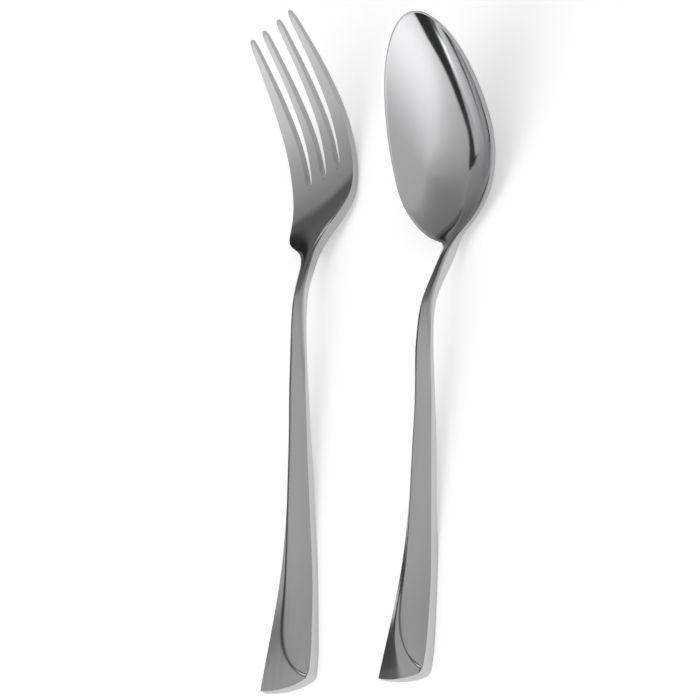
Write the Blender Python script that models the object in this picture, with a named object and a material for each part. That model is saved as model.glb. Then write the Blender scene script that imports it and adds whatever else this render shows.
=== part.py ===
"""A fork and a tablespoon of one cutlery pattern, lying face up side by side.

Each piece is one closed stamped solid, drawn from the broad end of its handle.
The part's frame has +Y toward the tines and the bowl, +X to the right and +Z up.
Its origin is the middle of the set on the surface that both pieces lie on.
"""

import math

import bmesh
import bpy
from mathutils import Matrix

MM = 0.001

# Middle of the set, measured from the middle of the fork's broad end.
SET_MIDDLE_X = 36.716
SET_MIDDLE_Y = 90.385

# Both handles: one pattern with a panel that sweeps to the right-hand corner.
END_SLANT = 0.27
END_BULGE = 0.0116
END_SET_BACK = -1.3
END_FADE = 40.0
CORNER_RADIUS = 3.2
CORNER_SET_BACK = 1.1
LEFT_SPREAD = 1.5
END_TUCK = 1.0
END_TUCK_LENGTH = 9.0
STEP_FALL = 0.28
STEP_RUN = 0.35
SWEEP_START = 104.0
SWEEP_INSET_NECK = 0.85
SWEEP_NEAR_END_AT = 26.0
SWEEP_NEAR_END = -4.3
SWEEP_POWER = 3.0
EDGE_DROP_END = 1.15
EDGE_DROP_NECK = 0.30
EDGE_DROP_LENGTH = 52.0
PANEL_CROWN = 0.12
END_THICKNESS = 2.6
END_ROLL = 0.45
END_ROLL_LENGTH = 5.0
HEEL_FLAT_LENGTH = 30.0
SHANK_THICKNESS = 1.75
SHANK_AT = 62.0
WAIST_THICKNESS = 1.65
WAIST_AT = 104.0
NECK_THICKNESS = 2.6
HEAD_THICKNESS = 1.8
EDGE_ROUND = 0.35

# The fork.
FORK_LENGTH = 203.7
FORK_END_HALF_WIDTH = 11.4
FORK_PALM_AT = 26.0
FORK_PALM_HALF_WIDTH = 8.4
FORK_GRIP_AT = 44.0
FORK_GRIP_HALF_WIDTH = 6.2
FORK_SHANK_AT = 68.0
FORK_SHANK_HALF_WIDTH = 4.5
FORK_WAIST_AT = 94.0
FORK_WAIST_HALF_WIDTH = 3.65
FORK_NECK_AT = 120.0
FORK_NECK_HALF_WIDTH = 2.75
FORK_HEEL_AT = 34.0
FORK_HEEL_HEIGHT = 1.9
FORK_RISE_AT = 74.0
FORK_RISE_HEIGHT = 4.4
FORK_CREST_AT = 117.0
FORK_CREST_HEIGHT = 8.2
FORK_FALL_AT = 134.0
FORK_FALL_HEIGHT = 6.2
FORK_LOW_AT = 155.0
FORK_LOW_HEIGHT = 2.3
FORK_ROOT_HEIGHT_AT = 172.0
FORK_ROOT_HEIGHT = 5.6
FORK_TINE_MID_AT = 188.0
FORK_TINE_MID_HEIGHT = 13.8
FORK_TIP_HEIGHT = 24.4
FORK_NECK_THICK_AT = 134.0
FORK_HEAD_THICK_AT = 155.0
SHOULDER_START = 131.5
SHOULDER_END = 151.0
FORK_HEAD_HALF_WIDTH = 14.2
FORK_TIP_HALF_WIDTH = 9.7
HEAD_TAPER_POWER = 1.5
HEAD_DISH = 0.5
SLOT_ROOT_AT = 161.4
SLOT_ROOT_WIDTH = 2.4
SLOT_ROOT_SPACING = 6.6
SLOT_TIP_SPACING = 6.2
TINE_THICK_AT = 184.0
TINE_THICKNESS = 2.0
MIDDLE_SLOT_WIDTH = 4.5
SIDE_SLOT_WIDTH = 3.9
MIDDLE_SLOT_TIP_WIDTH = 5.1
SIDE_SLOT_TIP_WIDTH = 4.0
TINE_TIP_THICKNESS = 1.15
TINE_POINT_LENGTH = 1.9
TINE_POINT_SCALE = 0.42
COLUMNS_PER_TINE = 3
COLUMNS_PER_SLOT = 2

# The spoon, and where it lies beside the fork.
SPOON_LENGTH = 186.0
SPOON_END_REACH = 0.6
SPOON_END_HALF_WIDTH = 10.7
SPOON_PALM_AT = 20.0
SPOON_PALM_HALF_WIDTH = 8.3
SPOON_GRIP_AT = 38.0
SPOON_GRIP_HALF_WIDTH = 6.0
SPOON_SHANK_AT = 62.0
SPOON_SHANK_HALF_WIDTH = 4.5
SPOON_WAIST_AT = 92.0
SPOON_WAIST_HALF_WIDTH = 3.4
SPOON_NECK_AT = 118.0
SPOON_NECK_HALF_WIDTH = 2.3
SPOON_HEEL_AT = 32.0
SPOON_HEEL_HEIGHT = 2.3
SPOON_RISE_AT = 74.0
SPOON_RISE_HEIGHT = 6.0
SPOON_CREST_AT = 103.0
SPOON_CREST_HEIGHT = 9.4
SPOON_FALL_AT = 119.0
SPOON_FALL_HEIGHT = 6.4
SPOON_RIM_LOW_AT = 130.5
SPOON_RIM_LOW_HEIGHT = 3.4
SPOON_RIM_BACK_AT = 143.0
SPOON_RIM_BACK_HEIGHT = 7.1
SPOON_RIM_MID_AT = 164.0
SPOON_RIM_MID_HEIGHT = 16.3
SPOON_TIP_HEIGHT = 27.0
SPOON_NECK_THICKNESS = 3.3
SPOON_NECK_THICK_AT = 123.0
SPOON_HEAD_THICK_AT = 134.0
BOWL_START = 125.9
BOWL_WIDEST_AT = 149.5
BOWL_HALF_WIDTH = 20.8
BOWL_BACK_POWER = 0.73
BOWL_FRONT_POWER = 0.5
BOWL_DEPTH = 8.1
BOWL_DEEPEST_AT = 160.0
BOWL_FLOOR_POWER = 2.4
BOWL_HEEL_EASE = 1.7
BOWL_UNDER_POWER = 3.0
BOWL_UNDER_EASE = 2.57
BOWL_RIM_WIDTH = 0.6
BOWL_RIM_EDGE = 1.0
BOWL_THICKNESS = 1.6
SPOON_PLACE_X = 51.9
SPOON_PLACE_Y = -19.53
SPOON_TURN_DEGREES = 5.65

STEEL_COLOUR = (0.62, 0.62, 0.63, 1.0)


def clear_scene():
    """Remove whatever the new file holds."""
    for item in list(bpy.data.objects):
        bpy.data.objects.remove(item, do_unlink=True)


def smooth(value):
    """Ease from 0 to 1 with level ends."""
    t = min(1.0, max(0.0, value))
    return t * t * t * (t * (6.0 * t - 15.0) + 10.0)


def curve(knots, at):
    """Smooth curve through (place, value) knots, straight beyond the first and last."""
    count = len(knots)
    slopes = []
    for index in range(count):
        low = knots[max(index - 1, 0)]
        high = knots[min(index + 1, count - 1)]
        slopes.append((high[1] - low[1]) / (high[0] - low[0]))
    if at <= knots[0][0]:
        return knots[0][1] + slopes[0] * (at - knots[0][0])
    if at >= knots[-1][0]:
        return knots[-1][1] + slopes[-1] * (at - knots[-1][0])
    index = 0
    while at > knots[index + 1][0]:
        index += 1
    start, end = knots[index], knots[index + 1]
    span = end[0] - start[0]
    t = (at - start[0]) / span
    near = (1.0 + 2.0 * t) * (1.0 - t) ** 2 * start[1] + t * (1.0 - t) ** 2 * span * slopes[index]
    far = t * t * (3.0 - 2.0 * t) * end[1] + t * t * (t - 1.0) * span * slopes[index + 1]
    return near + far


def end_line(across, half_width):
    """Where the broad end lies at a place across the handle: slanted, bulging, right corner rounded."""
    corner = max(0.0, (across - half_width) / CORNER_RADIUS + 1.0)
    bulge = END_BULGE * across * across
    return END_SET_BACK - END_SLANT * across + bulge + CORNER_SET_BACK * corner * corner


def station(along, across, half_width):
    """Place along the piece of a point on a station that follows the slanted end."""
    fade = 1.0 - smooth(along / END_FADE)
    return along + end_line(across, half_width) * fade


def end_roll(along, across, half_width):
    """Fall of the upper face where it rolls over toward the broad end."""
    back = along - end_line(across, half_width)
    t = max(0.0, 1.0 - max(0.0, back) / END_ROLL_LENGTH)
    return END_ROLL * t * t


def spread(along, across, half_width):
    """Place across with the dropped left side carried outward and the right corner tucked in."""
    share = across / half_width
    if share < 0.0:
        return across - LEFT_SPREAD * (edge_drop(along) - EDGE_DROP_NECK) * share * share
    tuck = max(0.0, 1.0 - along / END_TUCK_LENGTH)
    return across - END_TUCK * (tuck * share) ** 2


def sweep_line(along, half_width):
    """Left boundary of the raised panel: hugs the left edge, then sweeps to the right corner."""
    neck = -half_width + SWEEP_INSET_NECK
    near_end = SWEEP_NEAR_END
    down = smooth((SWEEP_START - along) / (SWEEP_START - SWEEP_NEAR_END_AT))
    line = neck + (near_end - neck) * down
    turn = max(0.0, (SWEEP_NEAR_END_AT - along) / SWEEP_NEAR_END_AT)
    line += (half_width - near_end) * min(1.0, turn) ** SWEEP_POWER
    return max(-half_width + 0.4, min(line, half_width - 1.2))


def edge_drop(along):
    """How far the left edge lies under the panel."""
    t = smooth(1.0 - along / EDGE_DROP_LENGTH)
    return EDGE_DROP_NECK + (EDGE_DROP_END - EDGE_DROP_NECK) * t


def pattern_fall(along, across, half_width):
    """Depth of the scooped left side under the panel, with a small step at the panel's edge."""
    line = sweep_line(along, half_width)
    presence = smooth((SWEEP_START - along) / 30.0)
    if across >= line:
        centre = 0.5 * (line + half_width)
        half = max(0.5 * (half_width - line), 0.5)
        lean = (across - centre) / half
        return -PANEL_CROWN * (1.0 - min(1.0, lean * lean)) * presence
    step = STEP_FALL * smooth((line - across) / STEP_RUN)
    reach = max(half_width + line, STEP_RUN)
    out = min(1.0, (line - across) / reach)
    slope = max(0.0, edge_drop(along) - STEP_FALL) * out ** 0.75
    return (step + slope) * presence


def handle_columns(along, half_width, count):
    """Places across the handle: a third left of the panel's edge, a step, and the panel."""
    left = count // 3
    line = sweep_line(along, half_width)
    places = [-half_width + (half_width + line - STEP_RUN) * i / left for i in range(left)]
    places.append(line - STEP_RUN)
    panel = count - left - 1
    places.extend(line + (half_width - line) * i / panel for i in range(panel + 1))
    return places


def rounded(share, half_width):
    """Fall of a rounded long edge at a share of the half width."""
    band = min(0.9, 1.1 / half_width)
    t = max(0.0, (abs(share) - (1.0 - band)) / band)
    return EDGE_ROUND * t * t


def build_solid(tops, bottoms):
    """Closed solid from an upper and a lower grid of points with the same rows and columns."""
    mesh = bmesh.new()
    rows, columns = len(tops), len(tops[0])
    top = [[mesh.verts.new([c * MM for c in p]) for p in row] for row in tops]
    low = [[mesh.verts.new([c * MM for c in p]) for p in row] for row in bottoms]
    for j in range(rows - 1):
        for i in range(columns - 1):
            mesh.faces.new((top[j][i], top[j][i + 1], top[j + 1][i + 1], top[j + 1][i]))
            mesh.faces.new((low[j][i], low[j + 1][i], low[j + 1][i + 1], low[j][i + 1]))
        mesh.faces.new((top[j][0], top[j + 1][0], low[j + 1][0], low[j][0]))
        mesh.faces.new((top[j + 1][-1], top[j][-1], low[j][-1], low[j + 1][-1]))
    for i in range(columns - 1):
        mesh.faces.new((top[0][i + 1], top[0][i], low[0][i], low[0][i + 1]))
    return mesh, top, low


def close_row(mesh, top_row, low_row):
    """Wall across the far end between an upper and a lower row."""
    for i in range(len(top_row) - 1):
        mesh.faces.new((top_row[i], top_row[i + 1], low_row[i + 1], low_row[i]))


def set_place(turn_degrees, x, y):
    """Place of a piece in the set's frame, from its own end point and turn."""
    turn = Matrix.Rotation(-math.radians(turn_degrees), 4, "Z")
    shift = Matrix.Translation(((x - SET_MIDDLE_X) * MM, (y - SET_MIDDLE_Y) * MM, 0.0))
    return shift @ turn


def finish(name, mesh, place):
    """Turn the mesh into a named object with its own steel."""
    bmesh.ops.triangulate(mesh, faces=mesh.faces[:])
    bmesh.ops.recalc_face_normals(mesh, faces=mesh.faces[:])
    bmesh.ops.transform(mesh, matrix=place, verts=mesh.verts[:])
    data = bpy.data.meshes.new(name)
    mesh.to_mesh(data)
    mesh.free()
    item = bpy.data.objects.new(name, data)
    bpy.context.scene.collection.objects.link(item)
    material = bpy.data.materials.new(name + "_steel")
    material.use_nodes = True
    shader = material.node_tree.nodes["Principled BSDF"]
    shader.inputs["Base Color"].default_value = STEEL_COLOUR
    shader.inputs["Metallic"].default_value = 1.0
    shader.inputs["Roughness"].default_value = 0.16
    data.materials.append(material)
    return item


# Fork forms.


def fork_half_width(along):
    """Half width of the fork's outline."""
    knots = (
        (0.0, FORK_END_HALF_WIDTH),
        (FORK_PALM_AT, FORK_PALM_HALF_WIDTH),
        (FORK_GRIP_AT, FORK_GRIP_HALF_WIDTH),
        (FORK_SHANK_AT, FORK_SHANK_HALF_WIDTH),
        (FORK_WAIST_AT, FORK_WAIST_HALF_WIDTH),
        (FORK_NECK_AT, FORK_NECK_HALF_WIDTH),
        (SHOULDER_START, FORK_NECK_HALF_WIDTH),
    )
    if along <= SHOULDER_START:
        return curve(knots, along)
    out = smooth((along - SHOULDER_START) / (SHOULDER_END - SHOULDER_START))
    wide = FORK_NECK_HALF_WIDTH + (FORK_HEAD_HALF_WIDTH - FORK_NECK_HALF_WIDTH) * out
    t = max(0.0, (along - SHOULDER_END) / (FORK_LENGTH - SHOULDER_END))
    return wide - (FORK_HEAD_HALF_WIDTH - FORK_TIP_HALF_WIDTH) * t ** HEAD_TAPER_POWER


def fork_height(along):
    """Height of the fork's upper face at its edges."""
    knots = (
        (0.0, END_THICKNESS),
        (FORK_HEEL_AT, FORK_HEEL_HEIGHT),
        (FORK_RISE_AT, FORK_RISE_HEIGHT),
        (FORK_CREST_AT, FORK_CREST_HEIGHT),
        (FORK_FALL_AT, FORK_FALL_HEIGHT),
        (FORK_LOW_AT, FORK_LOW_HEIGHT),
        (FORK_ROOT_HEIGHT_AT, FORK_ROOT_HEIGHT),
        (FORK_TINE_MID_AT, FORK_TINE_MID_HEIGHT),
        (FORK_LENGTH, FORK_TIP_HEIGHT),
    )
    return curve(knots, along)


def fork_thickness(along):
    """Thickness of the fork along its length."""
    knots = (
        (SHANK_AT, SHANK_THICKNESS),
        (WAIST_AT, WAIST_THICKNESS),
        (FORK_NECK_THICK_AT, NECK_THICKNESS),
        (FORK_HEAD_THICK_AT, HEAD_THICKNESS),
        (TINE_THICK_AT, TINE_THICKNESS),
        (FORK_LENGTH, TINE_TIP_THICKNESS),
    )
    return curve(knots, max(along, SHANK_AT))


def underside(along, top, thickness):
    """Height of the lower face: level with the table under the heel of the handle."""
    lift = smooth((along - HEEL_FLAT_LENGTH) / 14.0)
    return lift * (top - thickness)


def lean(height, along):
    """Unit direction along a piece's profile, as its level and upward parts."""
    rise = (height(along + 0.5) - height(along - 0.5))
    size = math.hypot(1.0, rise)
    return 1.0 / size, rise / size


def slot_middle(index, along):
    """Place across of slot 0, 1 or 2, from the left."""
    t = max(0.0, (along - SLOT_ROOT_AT) / (FORK_LENGTH - SLOT_ROOT_AT))
    spacing = SLOT_ROOT_SPACING + (SLOT_TIP_SPACING - SLOT_ROOT_SPACING) * t
    return (index - 1) * spacing


def slot_width(index, along):
    """Width of a slot, wider toward the tips."""
    middle = MIDDLE_SLOT_WIDTH if index == 1 else SIDE_SLOT_WIDTH
    tip = MIDDLE_SLOT_TIP_WIDTH if index == 1 else SIDE_SLOT_TIP_WIDTH
    knots = ((SLOT_ROOT_AT, SLOT_ROOT_WIDTH), (TINE_THICK_AT, middle), (FORK_LENGTH, tip))
    return curve(knots, max(along, SLOT_ROOT_AT))


def head_columns(along):
    """Places across the fork's head: the edges of the tines and slots, with points between."""
    half_width = fork_half_width(along)
    marks = [-half_width]
    for index in range(3):
        middle = slot_middle(index, along)
        half = 0.5 * slot_width(index, along)
        marks.extend((middle - half, middle + half))
    marks.append(half_width)
    squeeze = min(1.0, half_width / FORK_HEAD_HALF_WIDTH) if along < SHOULDER_END else 1.0
    marks = [marks[0]] + [mark * squeeze for mark in marks[1:-1]] + [marks[-1]]
    places = []
    for band in range(7):
        parts = COLUMNS_PER_TINE if band % 2 == 0 else COLUMNS_PER_SLOT
        for step in range(parts):
            places.append(marks[band] + (marks[band + 1] - marks[band]) * step / parts)
    places.append(marks[-1])
    return places


def fork_point(along, across, drop=0.0):
    """Upper and lower point of the fork at a place along and across it."""
    half_width = fork_half_width(along)
    share = across / half_width
    drop += end_roll(along, across, half_width)
    presence = smooth((along - FORK_CREST_AT) / 25.0)
    late = 1.0 - smooth((along - FORK_ROOT_HEIGHT_AT) / 30.0)
    dish = HEAD_DISH * presence * (0.35 + 0.65 * late)
    top = fork_height(along) - dish * (1.0 - share * share)
    top -= drop
    thickness = fork_thickness(along)
    level, rise = lean(fork_height, along)
    if along < SHANK_AT:
        low = underside(along, fork_height(along), SHANK_THICKNESS)
        round_low = 0.0
        shift = 0.0
    else:
        low = top - thickness * level
        shift = thickness * rise
        round_low = rounded(share, half_width) * (1.0 - smooth((along - SHOULDER_START) / 12.0))
        round_low *= smooth((along - SHANK_AT) / 20.0)
    round_top = rounded(share, half_width) * smooth((along - SWEEP_START + 20.0) / 20.0)
    round_top *= 1.0 - smooth((along - SHOULDER_START) / 12.0)
    return (across, along, top - round_top), (across, along + shift, low + round_low)


def fork_rows():
    """Stations along the fork from the end to the slot roots."""
    places = [0.0, 1.2, 2.6, 4.4, 6.6, 9.2, 12.2, 15.6, 19.4, 23.6, 28.0]
    at = 33.0
    while at < FORK_CREST_AT - 8.0:
        places.append(at)
        at += 6.0
    while at < SLOT_ROOT_AT - 1.0:
        places.append(at)
        at += 2.6
    return places


def fork_body_row(along):
    """One row of points across the handle and the head, before the slots."""
    half_width = fork_half_width(along)
    count = 4 * COLUMNS_PER_TINE + 3 * COLUMNS_PER_SLOT
    mix = smooth((along - SWEEP_START + 14.0) / 34.0)
    handle = handle_columns(min(along, SWEEP_START), half_width, count)
    head = head_columns(along)
    tops, lows = [], []
    for a, b in zip(handle, head):
        across = a + (b - a) * mix
        place = station(along, across, half_width)
        scale = fork_half_width(place) / half_width
        drop = pattern_fall(along, across, half_width)
        wide = spread(along, across * scale, half_width)
        top, low = fork_point(place, wide, drop)
        tops.append(top)
        lows.append(low)
    return tops, lows


def fork_root_row():
    """The row at the slot roots, drawn in a small arc round each root."""
    radius = 0.5 * SLOT_ROOT_WIDTH
    along = SLOT_ROOT_AT + radius
    tops, lows = [], []
    for index, across in enumerate(head_columns(along)):
        back = radius if is_slot_middle(index) else 0.0
        top, low = fork_point(along - back, across)
        tops.append(top)
        lows.append(low)
    return tops, lows


def is_slot_middle(index):
    """Whether a column runs through the middle of a slot."""
    cycle = COLUMNS_PER_TINE + COLUMNS_PER_SLOT
    return index % cycle == COLUMNS_PER_TINE + 1


def tine_rows():
    """Stations along the tines, closer together at the points, with the width's scale."""
    first = SLOT_ROOT_AT + 0.5 * SLOT_ROOT_WIDTH
    last = FORK_LENGTH - TINE_POINT_LENGTH
    count = 12
    rows = [(first + (last - first) * (k + 1) / count, 1.0) for k in range(count)]
    rows.append((last + TINE_POINT_LENGTH * 0.55, 0.82))
    rows.append((FORK_LENGTH, TINE_POINT_SCALE))
    return rows


def add_tine(mesh, root_top, root_low, number):
    """One tine from its share of the root row to its rounded point."""
    start = number * (COLUMNS_PER_TINE + COLUMNS_PER_SLOT)
    span = slice(start, start + COLUMNS_PER_TINE + 1)
    top_row, low_row = root_top[span], root_low[span]
    for along, scale in tine_rows():
        places = head_columns(along)[span]
        middle = 0.5 * (places[0] + places[-1])
        new_top, new_low = [], []
        for across in places:
            top, low = fork_point(along, middle + (across - middle) * scale)
            centre = [0.5 * (a + b) for a, b in zip(top, low)]
            squeeze = 0.45 + 0.55 * scale
            top = [c + (p - c) * squeeze for c, p in zip(centre, top)]
            low = [c + (p - c) * squeeze for c, p in zip(centre, low)]
            new_top.append(mesh.verts.new([c * MM for c in top]))
            new_low.append(mesh.verts.new([c * MM for c in low]))
        for i in range(COLUMNS_PER_TINE):
            mesh.faces.new((top_row[i], top_row[i + 1], new_top[i + 1], new_top[i]))
            mesh.faces.new((low_row[i], new_low[i], new_low[i + 1], low_row[i + 1]))
        mesh.faces.new((top_row[0], new_top[0], new_low[0], low_row[0]))
        mesh.faces.new((new_top[-1], top_row[-1], low_row[-1], new_low[-1]))
        top_row, low_row = new_top, new_low
    close_row(mesh, top_row, low_row)


def build_fork():
    """The fork: handle, dished head and four tines in one solid."""
    tops, lows = [], []
    for along in fork_rows():
        top, low = fork_body_row(along)
        tops.append(top)
        lows.append(low)
    top, low = fork_root_row()
    tops.append(top)
    lows.append(low)
    mesh, top_verts, low_verts = build_solid(tops, lows)
    for number in range(4):
        add_tine(mesh, top_verts[-1], low_verts[-1], number)
        if number < 3:
            start = number * (COLUMNS_PER_TINE + COLUMNS_PER_SLOT) + COLUMNS_PER_TINE
            span = slice(start, start + COLUMNS_PER_SLOT + 1)
            close_row(mesh, top_verts[-1][span], low_verts[-1][span])
    return finish("fork", mesh, set_place(0.0, 0.0, 0.0))


# Spoon forms.


def spoon_shank_half_width(along):
    """Half width of the spoon's handle and neck."""
    knots = (
        (0.0, SPOON_END_HALF_WIDTH),
        (SPOON_PALM_AT, SPOON_PALM_HALF_WIDTH),
        (SPOON_GRIP_AT, SPOON_GRIP_HALF_WIDTH),
        (SPOON_SHANK_AT, SPOON_SHANK_HALF_WIDTH),
        (SPOON_WAIST_AT, SPOON_WAIST_HALF_WIDTH),
        (SPOON_NECK_AT, SPOON_NECK_HALF_WIDTH),
        (BOWL_START + 4.0, SPOON_NECK_HALF_WIDTH),
    )
    return curve(knots, min(along, BOWL_START + 4.0))


def egg(along, inset):
    """Half width of the egg-shaped bowl, set in from the rim by a distance."""
    if along < BOWL_WIDEST_AT:
        reach = BOWL_WIDEST_AT - BOWL_START - inset
        power = BOWL_BACK_POWER
        t = (BOWL_WIDEST_AT - along) / reach
    else:
        reach = SPOON_LENGTH - BOWL_WIDEST_AT - inset
        power = BOWL_FRONT_POWER
        t = (along - BOWL_WIDEST_AT) / reach
    if t >= 1.0:
        return 0.0
    return (BOWL_HALF_WIDTH - inset) * (1.0 - t * t) ** power


def spoon_half_width(along):
    """Half width of the spoon's outline: the neck blended into the bowl."""
    bowl = egg(along, 0.0)
    if along > BOWL_WIDEST_AT:
        return bowl
    neck = spoon_shank_half_width(along)
    return (neck ** 4 + bowl ** 4) ** 0.25


def spoon_height(along):
    """Height of the spoon's handle and rim."""
    knots = (
        (0.0, END_THICKNESS),
        (SPOON_HEEL_AT, SPOON_HEEL_HEIGHT),
        (SPOON_RISE_AT, SPOON_RISE_HEIGHT),
        (SPOON_CREST_AT, SPOON_CREST_HEIGHT),
        (SPOON_FALL_AT, SPOON_FALL_HEIGHT),
        (SPOON_RIM_LOW_AT, SPOON_RIM_LOW_HEIGHT),
        (SPOON_RIM_BACK_AT, SPOON_RIM_BACK_HEIGHT),
        (SPOON_RIM_MID_AT, SPOON_RIM_MID_HEIGHT),
        (SPOON_LENGTH, SPOON_TIP_HEIGHT),
    )
    return curve(knots, along)


def spoon_thickness(along):
    """Thickness of the spoon along its length."""
    knots = (
        (SHANK_AT, SHANK_THICKNESS),
        (WAIST_AT - 6.0, WAIST_THICKNESS),
        (SPOON_NECK_THICK_AT, SPOON_NECK_THICKNESS),
        (SPOON_HEAD_THICK_AT, BOWL_THICKNESS),
        (SPOON_LENGTH, BOWL_THICKNESS),
    )
    return curve(knots, max(along, SHANK_AT))


def bowl_reach(along, across, inset):
    """Share of the way from the bowl's deepest point to its outline, set in by a distance."""
    level = along - BOWL_DEEPEST_AT
    size = math.hypot(level, across)
    if size < 1e-6:
        return 0.0
    near, far = 0.0, 2.0 * (SPOON_LENGTH - BOWL_START)
    for _ in range(36):
        middle = 0.5 * (near + far)
        share = middle / size
        if abs(across) * share < egg(BOWL_DEEPEST_AT + level * share, inset):
            near = middle
        else:
            far = middle
    return size / near


def bowl_fall(along, across, inset, power, heel_ease):
    """Share of the bowl's depth at a place, with a gentler slope toward the neck."""
    reach = bowl_reach(along, across, inset)
    if reach >= 1.0:
        return 0.0
    back = max(0.0, BOWL_DEEPEST_AT - along)
    heel = (back / math.hypot(back, across)) ** 4 if back > 0.0 else 0.0
    ease = 1.0 + (heel_ease - 1.0) * heel
    return (1.0 - reach ** power) ** ease


def spoon_rows():
    """Stations along the spoon, closer together at its ends and round the neck."""
    places = [-SPOON_END_REACH, 0.6, 2.2, 4.2, 6.6, 9.2, 12.2, 15.6, 19.4, 23.6, 28.0]
    at = 33.0
    while at < SPOON_CREST_AT - 8.0:
        places.append(at)
        at += 6.0
    while at < BOWL_START - 1.0:
        places.append(at)
        at += 2.8
    while at < BOWL_WIDEST_AT:
        places.append(at)
        at += 2.0
    reach = SPOON_LENGTH - at
    count = 15
    for k in range(count):
        places.append(at + reach * math.sin(0.5 * math.pi * k / count))
    places.append(SPOON_LENGTH - 0.03)
    return places


def spoon_columns():
    """Shares of the half width across the spoon, closer together toward the rim."""
    return [math.sin(0.5 * math.pi * (k / 8.0 - 1.0)) for k in range(17)]


def bowl_section(along, across):
    """Upper and lower height of the bowl at a place."""
    rim = spoon_height(along)
    top = rim - BOWL_DEPTH * bowl_fall(along, across, BOWL_RIM_WIDTH, BOWL_FLOOR_POWER, BOWL_HEEL_EASE)
    under = BOWL_DEPTH + spoon_thickness(along) - BOWL_RIM_EDGE
    low = rim - BOWL_RIM_EDGE - under * bowl_fall(along, across, 0.0, BOWL_UNDER_POWER, BOWL_UNDER_EASE)
    return top, low


def spoon_point(along, across, drop):
    """Upper and lower point of the spoon at a place along and across it."""
    half_width = spoon_half_width(along)
    share = max(-1.0, min(1.0, across / half_width))
    height = spoon_height(along)
    top = height - drop - end_roll(along, across, half_width)
    if along < SHANK_AT:
        low = underside(along, height, SHANK_THICKNESS)
    else:
        level, rise = lean(spoon_height, along)
        low = top - spoon_thickness(along) * level
        round_low = rounded(share, half_width) * smooth((along - SHANK_AT) / 20.0)
        low += round_low
    top -= rounded(share, half_width) * smooth((along - SWEEP_START + 20.0) / 20.0)
    mix = smooth((along - BOWL_START + 5.0) / 9.0)
    bowl_top, bowl_low = bowl_section(along, across)
    top += (bowl_top - top) * mix
    low += (bowl_low - low) * mix
    return (across, along, top), (across, along, low)


def spoon_row(along):
    """One row of points across the spoon."""
    half_width = spoon_half_width(along)
    shares = spoon_columns()
    handle = handle_columns(min(along, SWEEP_START), half_width, len(shares) - 1)
    mix = smooth((along - SWEEP_START + 14.0) / 26.0)
    tops, lows = [], []
    for a, share in zip(handle, shares):
        across = a + (share * half_width - a) * mix
        place = station(along, across, half_width)
        scale = spoon_half_width(place) / half_width
        drop = pattern_fall(along, across, half_width)
        wide = spread(along, across * scale, half_width)
        top, low = spoon_point(place, wide, drop)
        tops.append(top)
        lows.append(low)
    return tops, lows


def build_spoon():
    """The spoon: handle, neck and egg-shaped bowl in one solid, turned beside the fork."""
    tops, lows = [], []
    for along in spoon_rows():
        top, low = spoon_row(along)
        tops.append(top)
        lows.append(low)
    mesh, top_verts, low_verts = build_solid(tops, lows)
    close_row(mesh, top_verts[-1], low_verts[-1])
    place = set_place(SPOON_TURN_DEGREES, SPOON_PLACE_X, SPOON_PLACE_Y)
    return finish("spoon", mesh, place)


def main():
    """Build both pieces."""
    clear_scene()
    build_fork()
    build_spoon()


main()
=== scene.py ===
"""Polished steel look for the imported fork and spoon, laid out as an add-on and run as a script."""

import math

import bpy
from bpy.props import FloatProperty, FloatVectorProperty, PointerProperty
from mathutils import Matrix, Vector


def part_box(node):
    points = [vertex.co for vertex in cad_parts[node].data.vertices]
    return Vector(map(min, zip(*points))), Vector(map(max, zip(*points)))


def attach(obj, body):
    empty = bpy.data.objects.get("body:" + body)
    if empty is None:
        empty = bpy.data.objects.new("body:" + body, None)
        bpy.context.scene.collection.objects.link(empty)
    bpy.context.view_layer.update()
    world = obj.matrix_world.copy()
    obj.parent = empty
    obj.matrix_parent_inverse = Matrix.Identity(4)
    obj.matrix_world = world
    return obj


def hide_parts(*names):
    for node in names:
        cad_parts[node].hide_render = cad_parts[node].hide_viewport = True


bl_info = {
    "name": "Fork and spoon",
    "version": (1, 0, 0),
    "blender": (4, 5, 0),
    "location": "3D View > Sidebar > Cutlery",
    "description": "A polished steel fork and tablespoon lying face up side by side",
    "category": "Object",
}

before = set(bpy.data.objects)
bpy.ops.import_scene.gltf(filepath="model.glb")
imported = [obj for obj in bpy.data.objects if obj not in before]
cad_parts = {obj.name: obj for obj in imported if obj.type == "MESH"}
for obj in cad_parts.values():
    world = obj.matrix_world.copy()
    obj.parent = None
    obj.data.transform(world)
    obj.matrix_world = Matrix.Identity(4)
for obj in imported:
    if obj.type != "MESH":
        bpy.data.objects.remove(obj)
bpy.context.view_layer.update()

MM = 0.001

# Middle of the set, measured from the middle of the fork's broad end.
SET_MIDDLE_X = 36.716
SET_MIDDLE_Y = 90.385

# Both handles: one pattern with a panel that sweeps to the right-hand corner.
END_SLANT = 0.27
END_BULGE = 0.0116
END_SET_BACK = -1.3
END_FADE = 40.0
CORNER_RADIUS = 3.2
CORNER_SET_BACK = 1.1
LEFT_SPREAD = 1.5
END_TUCK = 1.0
END_TUCK_LENGTH = 9.0
STEP_FALL = 0.10
STEP_RUN = 0.8
SWEEP_START = 104.0
SWEEP_INSET_NECK = 0.85
SWEEP_NEAR_END_AT = 26.0
SWEEP_NEAR_END = -4.3
SWEEP_POWER = 3.0
SWEEP_LEFT_MARGIN = 0.4
SWEEP_RIGHT_MARGIN = 1.2
PATTERN_FADE = 30.0
PATTERN_MIX_LEAD = 14.0
EDGE_DROP_END = 1.15
EDGE_DROP_NECK = 0.30
EDGE_DROP_LENGTH = 52.0
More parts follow.
